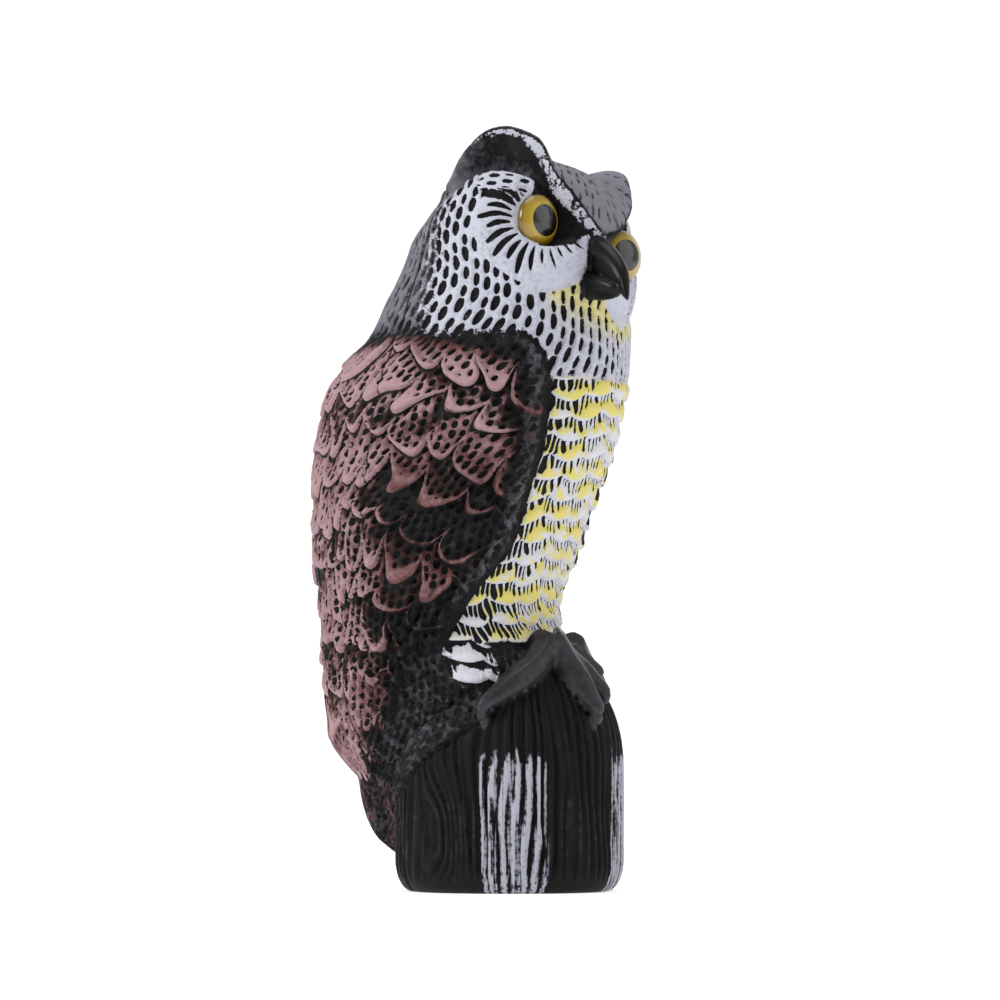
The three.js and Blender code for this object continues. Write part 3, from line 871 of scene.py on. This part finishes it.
def carve(points, normals):
    """The mould's relief: points pushed out on feather edges and ridges, and in at pits and grooves."""
    spot = places(points)
    part = regions(spot)
    turns = spot["turn"] / (2 * math.pi)
    height = spot["height"]
    down, up, strokes, _ = breast_feathers(turns, height)
    breast = FEATHER_STEP * rise(down, 0, 0.7) * rise(up, 0, 0.12) - STROKE_DEPTH * strokes
    down, up, _ = wing_feathers(turns, height)
    rim = hump(up, 0.12, 0.1)
    lobes = LOBE_STEP * rise(down, 0, 0.8) * rise(up, 0, 0.05) + LOBE_RIM * rim
    lobes *= 1 - 0.5 * rise(np.abs(spot["turn"]), 1.7, 2.2)
    lobes *= (1 - 0.7 * (1 - rise(height, -14, -2))) * (1 - 0.8 * spot["tail"])
    pit = wing_pits(turns, height) * rise(up, 0.16, 0.24) * rise(down, 0.04, 0.12)
    angle = np.abs(np.degrees(spot["turn"]))
    sweep = rise(np.abs(fraction(spot["wing"] / 8) - 0.5), 0.3, 0.46) * (1 - rise(height, 10, 22))
    sweep *= 1 - rise(spot["wing"], 26, 36)
    long_lines = rise(np.abs(fraction(np.abs(turns) * 42) - 0.5), 0.3, 0.46)
    long_lines *= (1 - rise(height, 18, 28)) * rise(height, -12, -4)
    long_lines = mix(sweep, long_lines, rise(angle, 108, 118))
    arc = np.hypot((angle - 76) * 1.02, (height + 4) * PART)
    arcs = np.maximum(hump(arc, 21, 1.2), hump(arc, 29, 1.2)) * (1 - rise(height, -4, 0))
    wing = (lobes * (1 - 0.5 * long_lines) - WING_PIT_DEPTH * pit) * (1 - part["band"])
    band = BAND_SWELL * hump(spot["wing"], 3.6, 3.2) - BAND_PIT_DEPTH * wing_pits(turns, height)
    wing += part["band"] * band - LINE_DEPTH * long_lines
    head_x, head_y = np.abs(spot["head"][:, 0]), spot["head"][:, 1]
    out, up, above = spot["from_eye"], spot["over_eye"], spot["above"]
    stump_turns = np.arctan2(spot["x"], -spot["y"]) / (2 * math.pi)
    side = rise(spot["z"], 3, 14) * rise(np.hypot(spot["x"], spot["y"]), 26, 44)
    push = (
        part["breast"] * (1 - part["thigh"]) * breast
        + part["wing"] * wing
        - NECK_PIT_DEPTH * part["neck"] * neck_pits(turns, height) * (1 - part["wing"])
        - FACE_GROOVE_DEPTH * part["disc"] * (face_strokes(out, up) + disc_groove(out, up))
        - PATCH_PIT_DEPTH * part["patch"] * patch_pits(out, up)
        - CROWN_PIT_DEPTH * part["crown"] * rise(above, 3, 6) * crown_pits(head_x, head_y)
        - THIGH_PIT_DEPTH * part["thigh"] * wing_pits(turns, height)
        - THIGH_ARC_DEPTH * np.maximum(part["thigh"], part["wing"]) * arcs
        + LAP_STEP * spot["lap"]
        - BARK_DEPTH * spot["stump"] * (1 - bark(stump_turns, spot["z"])) ** 1.4 * side
    )
    push -= MOUTH_DEPTH * spot["mouth"] + EDGE_DEPTH * np.maximum(spot["edge"], spot["edge_line"])
    push -= SEAM_DEPTH * (1 - rise(np.abs(part["seam"]), 0.5, 1.5)) * (1 - spot["foot"])
    return points + normals * push[:, None]


EYE_DIAMETER = 27
EYE_DOME = 6
EYE_SEAT = 3
EYE_CLEARANCE = 0.3
SOCKET_DEPTH = 22


def eye_pose(side):
    seat = head_direction(side * EYE_ANGLE, EYE_RISE) * EYE_REACH * PART
    look = Vector(head_direction(side * EYE_LOOK, 0))
    return HEAD_POSE @ Matrix.Translation(seat) @ look.to_track_quat("Z", "Y").to_matrix().to_4x4()


def press_socket(points, side):
    """The skin inside an eye's circle is pressed back to a flat floor behind the eye."""
    pose = eye_pose(side)
    place, turn = np.array(pose)[:3, 3], np.array(pose)[:3, :3]
    local = (points - place) @ turn
    in_circle = np.hypot(local[:, 0], local[:, 1]) < EYE_DIAMETER / 2 + EYE_CLEARANCE
    inside = in_circle & (np.abs(local[:, 2]) < SOCKET_DEPTH)
    local[inside, 2] = np.minimum(local[inside, 2], -EYE_SEAT - EYE_CLEARANCE)
    return local @ turn.T + place


mesh = moulding.data
smooth = soften(mesh, read_points(mesh), 4)
mesh.vertices.foreach_set("co", (smooth * MM).ravel())
mesh.update()
carved = carve(smooth, read_normals(mesh))
for side in (-1, 1):
    carved = press_socket(carved, side)
carved[:, 2] = np.maximum(carved[:, 2], 0)
mesh.vertices.foreach_set("co", (carved * MM).ravel())
mesh.update()
thin = moulding.modifiers.new("thin", "DECIMATE")
thin.ratio = min(1, SKIN_FACES / (2 * len(mesh.polygons)))
finish_modifiers(moulding)
mesh = moulding.data
mesh.shade_smooth()
spot = places(read_points(mesh))
part = regions(spot)
painted = {
    "turn_sin": np.sin(spot["turn"]),
    "turn_cos": np.cos(spot["turn"]),
    **{name: spot[name] for name in ("from_eye", "over_eye", "stump", "foot", "beak", "tail")},
    **part,
}
for name, values in painted.items():
    layer = mesh.attributes.new(name, "FLOAT", "POINT")
    layer.data.foreach_set("value", values.astype(np.float32))


def new_material(name, **values):
    material = bpy.data.materials.new(name)
    material.use_nodes = True
    shader = material.node_tree.nodes["Principled BSDF"]
    for socket, value in values.items():
        shader.inputs[socket.replace("_", " ")].default_value = value
    return material, material.node_tree, shader


def srgb(red, green, blue):
    """A colour as it is read off a screen, 0 to 255, in the linear light that the shader works in."""
    shares = np.array([red, green, blue]) / 255
    return (*np.where(shares < 0.04045, shares / 12.92, ((shares + 0.055) / 1.055) ** 2.4), 1)


def attribute(tree, name):
    node = tree.nodes.new("ShaderNodeAttribute")
    node.attribute_name = name
    return Tone(tree, node.outputs["Fac"])


def object_axes(tree):
    place = tree.nodes.new("ShaderNodeTexCoord")
    split = tree.nodes.new("ShaderNodeSeparateXYZ")
    tree.links.new(place.outputs["Object"], split.inputs[0])
    return [Tone(tree, split.outputs[k]) / MM for k in range(3)]


def noise(tree, scale, detail=2.0, distortion=0.0, stretch=(1, 1, 1)):
    """Cloudy variation over the piece, 0 to 1; scale counts clouds to the metre."""
    place = tree.nodes.new("ShaderNodeTexCoord")
    mapping = tree.nodes.new("ShaderNodeMapping")
    mapping.inputs["Scale"].default_value = stretch
    cloud = tree.nodes.new("ShaderNodeTexNoise")
    cloud.inputs["Scale"].default_value = scale
    cloud.inputs["Detail"].default_value = detail
    cloud.inputs["Distortion"].default_value = distortion
    tree.links.new(place.outputs["Object"], mapping.inputs[0])
    tree.links.new(mapping.outputs[0], cloud.inputs["Vector"])
    return Tone(tree, cloud.outputs["Fac"])


def coat(tree, under, paint, cover):
    """A colour laid over another where cover is 1; 6, 7 and 2 are the Mix node's colour sockets."""
    node = tree.nodes.new("ShaderNodeMix")
    node.data_type = "RGBA"
    for place, value in ((node.inputs[6], under), (node.inputs[7], paint)):
        if isinstance(value, tuple):
            place.default_value = value
        else:
            tree.links.new(value, place)
    tree.links.new(cover.socket, node.inputs[0])
    return node.outputs[2]


BLACK = srgb(17, 17, 18)
# Worn black, which on the bark's ridges is also painted sheen
WORN_BLACK_AND_SHEEN = srgb(34, 34, 37)
GREY = srgb(125, 124, 132)
WHITE = srgb(188, 189, 201)
CLEAN_WHITE = srgb(212, 212, 216)
YELLOW = srgb(212, 198, 84)
DARK_BROWN = srgb(60, 34, 31)
BROWN = srgb(101, 66, 65)
# Pale brown: partly paler paint, partly painted highlight on the wings' rims
PALE_BROWN_AND_SHEEN = srgb(167, 136, 140)

paint, tree, shader = new_material("painted_plastic", Specular_IOR_Level=0.11, Coat_Roughness=0.2)
x, y, z = object_axes(tree)
height = (z - STUMP_HEIGHT) / PART
on = {name: attribute(tree, name) for name in painted}
turns = np.arctan2(on["turn_sin"], on["turn_cos"]) / (2 * math.pi)
pose = np.array(HEAD_POSE.inverted())
head_x, head_y = [x * pose[k, 0] + y * pose[k, 1] + z * pose[k, 2] + pose[k, 3] for k in range(2)]
out, up = on["from_eye"], on["over_eye"]
stump, foot, beak = on["stump"], on["foot"], on["beak"]
fine = noise(tree, 900, 3) - 0.5
speckle = noise(tree, 420, 4) - 0.5
patchy = noise(tree, 160, 4, 0.6) - 0.5
broad = noise(tree, 45, 3) - 0.5
streaks = noise(tree, 700, 4, 0, (1, 1, 0.06)) - 0.5
brushed = noise(tree, 500, 4, 0, (0.2, 0.2, 1)) - 0.5

wing_pit = wing_pits(turns, height)
wing_down, wing_up, wing_chance = wing_feathers(turns, height)
breast_down, breast_up, comb, breast_chance = breast_feathers(turns, height)
neck_pit = neck_pits(turns, height)
ray = face_strokes(out, up)
patch_pit = patch_pits(out, up)
crown_pit = crown_pits(np.abs(head_x), head_y)
stump_turns = np.arctan2(x, 0 - y) / (2 * math.pi)
ridge = bark(stump_turns, z)
seam_line = 1 - rise(np.abs(on["seam"]), 0.45, 0.8)


def crisp(cover, width=0.06):
    """A soft amount turned into a painted patch with a clean edge."""
    return rise(cover, 0.5 - width, 0.5 + width)


# Bare black plastic, worn and rubbed with grey on what stands out, with painted highlight on bark ridges,
# feather rims and toes, and painted shade in the bark's grooves
# On the stump the worn black lies only on the bark's ridges as painted highlight, and the grooves stay black
# as painted shade
colour = coat(tree, BLACK, WORN_BLACK_AND_SHEEN, rise(patchy + broad, -0.1, 0.5) * (1 - stump * (1 - ridge * 0.6)))
rim = hump(wing_up, 0.13, 0.11)
high = rise(wing_down, 0.1, 0.6)
# Grey rubbed on the high places; on the feathers' rims, the toes and the bark's ridges it is also painted
# highlight
rubbed_and_highlight = on["grey"] + on["band"] * 0.22 + on["wing"] * (0.1 + rim * 0.14) + on["thigh"] * 0.26
rubbed_and_highlight = rubbed_and_highlight + foot * 0.31 * (1 - beak) + stump * ridge * 0.06 + on["tail"] * 0.16
wing_hole = wing_pit * rise(wing_up, 0.16, 0.24)
pits_and_groove_shade = np.maximum(wing_hole * np.maximum(on["wing"], on["thigh"]), crown_pit * on["crown"] * 0.6)
pits_and_groove_shade = np.maximum(pits_and_groove_shade, neck_pit * on["neck"] * (1 - on["grey"] * 0.75))
# The bark's grooves are darkened here as painted shade; the pits' black is bare plastic
pits_and_groove_shade = np.maximum(pits_and_groove_shade, stump * (1 - ridge) * 0.6)
worn = (patchy * 0.8 + speckle * 0.6) * (1 - foot * 0.8 - stump * 0.5)
colour = coat(tree, colour, GREY, rise(rubbed_and_highlight + worn - pits_and_groove_shade * 0.9, 0.12, 1.05))

# Brown on the wings' lobes, and most on their rims
uneven = rim * 0.6 + high * 0.1 + wing_chance * 0.3 - 0.1
brown_cover = on["brown"] + uneven * rise(on["brown"], 0.02, 0.2)
brown_cover = brown_cover + patchy * 0.7 + broad * 0.7 + speckle * 0.3 - wing_hole * 1.2
# Under the edge of the feather above, the brown thins to black: partly where the brush can't reach, partly
# painted shade
brown_cover = brown_cover - (1 - rise(wing_down, 0.02, 0.16)) * 0.6 * rise(height, -12, 4)
# Paler brown on rims, high places, and higher up and further back on the wing: partly paler paint, partly
# painted highlight
brown_tone_and_highlight = rise(broad * 0.8 + speckle * 0.7 + on["brown"] + rim * 0.2 + high * 0.2, 0.36, 1.15)
on_brown = rise(on["brown"], 0.0, 0.06)
colour = coat(tree, colour, DARK_BROWN, rise(brown_cover, 0.1, 0.5) * on_brown * 0.9)
brown_cover = crisp(brown_cover, 0.16)
colour = coat(tree, colour, coat(tree, BROWN, PALE_BROWN_AND_SHEEN, brown_tone_and_highlight), brown_cover * 0.94 * on_brown)

# White on face, neck and breast, with yellow over the breast feathers' middles and under the beak
# The rays and patch pits are black grooves and pits; the groove under the white disc only thins the white, as
# painted shade
disc_marks_and_shade = (ray + disc_groove(out, up) * 0.4) * on["disc"] + patch_pit * on["patch"]
neck_marks = neck_pit * on["neck"]
thin = 1 - rise(on["white"], 0.55, 0.95)
white_cover = on["white"] * 1.3 - 0.14 - 0.95 * np.maximum(disc_marks_and_shade, neck_marks)
white_cover = white_cover + (patchy * 0.55 + speckle * 0.5 + fine * 0.45) * (1 + thin * 1.3)
white_cover = crisp(white_cover, 0.1) * rise(on["white"], 0.05, 0.2)
bare_top = (1 - rise(breast_down + patchy * 0.8, 0.22, 0.44)) * on["flank"] + comb * 1.1 * (1 - on["flank"])
# A thin strip along each breast feather's lower edge stays bare: partly unpainted, partly painted shade under
# the step
dab_cover = on["dabs"] * (1 - bare_top) * rise(breast_up + speckle * 0.1, -0.05, 0.04)
dab_cover = dab_cover + patchy * (0.4 + on["flank"] * 0.5) + speckle * 0.25 + brushed * on["flank"] * 0.8
dab_cover = crisp(dab_cover, 0.1) * rise(on["dabs"], 0.1, 0.4)
white_cover = np.maximum(white_cover, dab_cover)
middle = rise(breast_down + patchy * 0.3, 0.16, 0.36) * rise(breast_up + patchy * 0.4, 0.04, 0.16)
middle = np.maximum(middle, 1 - on["breast"])
cloudy = broad * 0.9 + patchy * 0.9 + breast_chance * 0.1 + 0.3 * (1 - on["breast"])
yellow_cover = on["yellow"] * middle * rise(cloudy, -0.14, 0.08)
white_tone = coat(tree, WHITE, GREY, rise(speckle + fine * 0.5 + broad * 0.5, -0.06, 0.36) * 0.6)
white_tone = coat(tree, white_tone, CLEAN_WHITE, on["breast"] * 0.6)
bright = coat(tree, white_tone, YELLOW, yellow_cover * (0.66 + on["breast"] * 0.22))
colour = coat(tree, colour, bright, white_cover)

# White streaks dragged down the bark's ribs: angles round the stump, and the height they start from
STREAKS = (-64, 12, 88, 164)
STREAK_TOP = 70
dragged = 0
for angle in STREAKS:
    side = fraction(stump_turns - angle / 360 + 0.5) - 0.5
    upper_end = rise(z + patchy * 20, STREAK_TOP - 6, STREAK_TOP + 6)
    dragged = np.maximum((1 - rise(np.abs(side), 0.035, 0.055)) * (1 - upper_end), dragged)
streak_cover = dragged * 0.5 + streaks * 1.6 + speckle * 0.9 + ridge * 0.9 - 0.58
streak_cover = crisp(streak_cover, 0.2) * rise(dragged, 0.1, 0.5)
colour = coat(tree, colour, white_tone, streak_cover * stump * rise(ridge, 0.26, 0.54) * 0.78)
colour = coat(tree, colour, BLACK, np.maximum(beak, seam_line * 0.8))
tree.links.new(colour, shader.inputs["Base Color"])

BARE_ROUGHNESS = 0.58
PAINT_ROUGHNESS = 0.5
POLISHED_ROUGHNESS = 0.34
GRAIN_DEPTH = 0.6
roughness = mix(BARE_ROUGHNESS, PAINT_ROUGHNESS, white_cover) + fine * 0.12
roughness = mix(roughness, POLISHED_ROUGHNESS, np.maximum(beak, foot * 0.6))
tree.links.new(roughness.socket, shader.inputs["Roughness"])
tree.links.new(np.maximum(beak * 0.1, foot * (1 - beak) * 0.25).socket, shader.inputs["Coat Weight"])
bump = tree.nodes.new("ShaderNodeBump")
bump.inputs["Strength"].default_value = 0.5
bump.inputs["Distance"].default_value = GRAIN_DEPTH * MM
tree.links.new((fine * 0.4).socket, bump.inputs["Height"])
tree.links.new(bump.outputs[0], shader.inputs["Normal"])
mesh.materials.clear()
mesh.materials.append(paint)
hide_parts("moulded_owl_and_stump")
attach(moulding, "root")

# The eyes
# Two domed buttons in clear-coated plastic, glued into round sockets pressed in the face.
# Each is yellow, with a black pupil in its middle and a dark rim painted as shade where it meets its socket.
EYE_ROUNDING = 0.3
PUPIL_WIDTH = 17.4
PUPIL_HEIGHT = 16.6
IRIS = srgb(146, 116, 10)
PALE_IRIS = srgb(192, 164, 40)
PUPIL = srgb(12, 12, 13)


def eye_dome(name, side):
    form = bmesh.new()
    radius = EYE_DIAMETER / 2
    ball = (radius**2 + EYE_DOME**2) / (2 * EYE_DOME)
    sweep = math.asin(radius / ball)
    profile = [(0, -EYE_SEAT), (radius * 0.7, -EYE_SEAT), (radius - EYE_ROUNDING, -EYE_SEAT)]
    profile.append((radius, -EYE_SEAT + EYE_ROUNDING))
    for share in np.linspace(1, 0, 18):
        profile.append((ball * math.sin(sweep * share), ball * math.cos(sweep * share) - ball + EYE_DOME))
    verts = [form.verts.new((out, 0, up)) for out, up in profile]
    edges = [form.edges.new(pair) for pair in zip(verts, verts[1:])]
    bmesh.ops.spin(
        form,
        geom=verts + edges,
        cent=(0, 0, 0),
        axis=(0, 0, 1),
        angle=math.tau,
        steps=72,
        use_merge=True,
    )
    bmesh.ops.remove_doubles(form, verts=form.verts, dist=1e-4)
    bmesh.ops.recalc_face_normals(form, faces=form.faces)
    made = bpy.data.meshes.new(name)
    form.to_mesh(made)
    form.free()
    local = np.array([vert.co for vert in made.vertices])
    for axis, values in zip(("eye_across", "eye_up"), local.T):
        layer = made.attributes.new(axis, "FLOAT", "POINT")
        layer.data.foreach_set("value", values.astype(np.float32))
    made.transform(Matrix.Scale(MM, 4) @ eye_pose(side))
    made.shade_smooth()
    return made


eye_plastic, tree, shader = new_material("eye_plastic", Roughness=0.25, Coat_Weight=0.6, Coat_Roughness=0.12)
across, up = attribute(tree, "eye_across"), attribute(tree, "eye_up")
x, y = across / (PUPIL_WIDTH / 2), up / (PUPIL_HEIGHT / 2)
away = np.sqrt(x * x + y * y)
edge = np.sqrt(across * across + up * up) / (EYE_DIAMETER / 2)
colour = coat(tree, IRIS, PALE_IRIS, rise(edge, 0.95, 0.6) * (0.4 + noise(tree, 260) * 0.6))
colour = coat(tree, colour, PUPIL, 1 - rise(away, 0.97, 1.03))
# Darker round the edge: painted shade where the dome meets its socket
colour = coat(tree, colour, PUPIL, rise(edge, 0.93, 1.0) * 0.5)
tree.links.new(colour, shader.inputs["Base Color"])

for side, node in ((-1, "right_eye"), (1, "left_eye")):
    eye = bpy.data.objects.new(node + "_dome", eye_dome(node + "_dome", side))
    bpy.context.scene.collection.objects.link(eye)
    eye.data.materials.append(eye_plastic)
    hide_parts(node)
    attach(eye, "root")

# The studio
# A pale sheet swept up behind the owl, three soft round lights and a pale sky to light it, and the camera
# at the photograph's angle. Lengths are in metres.
FLOOR_COLOUR = srgb(240, 240, 242)
SWEEP_WIDTH = 5
SWEEP_DEPTH = 4.5
SWEEP_BEND = 2.5
SWEEP_HEIGHT = 6
CAMERA_AZIMUTH = -66
CAMERA_DISTANCE = 2.4
CAMERA_DROP = 3.2
FRAME_WIDTH = 0.526
AIM = (-0.005, 0.205)
SENSOR = 36

sweep = bmesh.new()
near_edge = [sweep.verts.new((side, -SWEEP_DEPTH, 0)) for side in (-SWEEP_WIDTH, SWEEP_WIDTH)]
bend = [(-SWEEP_DEPTH, 0), (SWEEP_DEPTH - SWEEP_BEND, 0)]
for share in np.linspace(0, 1, 12)[1:]:
    turn = share * math.pi / 2
    bend.append((SWEEP_DEPTH - SWEEP_BEND + SWEEP_BEND * math.sin(turn), SWEEP_BEND * (1 - math.cos(turn))))
bend.append((SWEEP_DEPTH, SWEEP_HEIGHT))
edge = [sweep.edges.new(near_edge)]
for (start, low), (end, high) in zip(bend, bend[1:]):
    grown = bmesh.ops.extrude_edge_only(sweep, edges=edge)["geom"]
    edge = [item for item in grown if isinstance(item, bmesh.types.BMEdge)]
    moved = [item for item in grown if isinstance(item, bmesh.types.BMVert)]
    bmesh.ops.translate(sweep, verts=moved, vec=(0, end - start, high - low))
bmesh.ops.rotate(sweep, verts=sweep.verts, matrix=Matrix.Rotation(math.radians(CAMERA_AZIMUTH), 3, "Z"))
floor_mesh = bpy.data.meshes.new("floor")
sweep.to_mesh(floor_mesh)
sweep.free()
floor_mesh.shade_smooth()
floor = bpy.data.objects.new("floor", floor_mesh)
bpy.context.scene.collection.objects.link(floor)
floor_paint, _, _ = new_material(
    "pale_floor", Roughness=0.8, Base_Color=FLOOR_COLOUR, Emission_Color=FLOOR_COLOUR, Emission_Strength=0.6
)
floor_mesh.materials.append(floor_paint)
floor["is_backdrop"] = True

azimuth, drop = math.radians(CAMERA_AZIMUTH), math.radians(CAMERA_DROP)
right = Vector((math.cos(azimuth), math.sin(azimuth), 0))
forward = Vector((-math.sin(azimuth) * math.cos(drop), math.cos(azimuth) * math.cos(drop), math.sin(drop)))
aim = right * AIM[0] + Vector((0, 0, AIM[1]))
camera = bpy.data.objects.new("camera", bpy.data.cameras.new("camera"))
camera.data.sensor_width = SENSOR
camera.data.lens = SENSOR * CAMERA_DISTANCE / FRAME_WIDTH
camera.location = aim - forward * CAMERA_DISTANCE
camera.rotation_euler = forward.to_track_quat("-Z", "Y").to_euler()
bpy.context.scene.collection.objects.link(camera)
bpy.context.scene.camera = camera


def soft_light(name, place, size, power):
    lamp = bpy.data.lights.new(name, "AREA")
    lamp.shape = "DISK"
    lamp.size = size
    lamp.energy = power
    light = bpy.data.objects.new(name, lamp)
    light.location = right * place[0] - forward * place[1] + Vector((0, 0, place[2]))
    light.rotation_euler = (aim - light.location).to_track_quat("-Z", "Y").to_euler()
    bpy.context.scene.collection.objects.link(light)


soft_light("key", (-2.0, 1.0, 1.4), 1.1, 36)
soft_light("fill", (2.4, 0.7, 1.3), 2.8, 20)
soft_light("top", (0, 0.1, 2.2), 1.6, 16)

world = bpy.data.worlds.new("studio")
world.use_nodes = True
world.node_tree.nodes["Background"].inputs["Color"].default_value = srgb(240, 241, 244)
world.node_tree.nodes["Background"].inputs["Strength"].default_value = 0.4
bpy.context.scene.world = world
bpy.context.scene.view_settings.view_transform = "Standard"

[[list(corner) for corner in box] for box in (cad_box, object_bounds())]
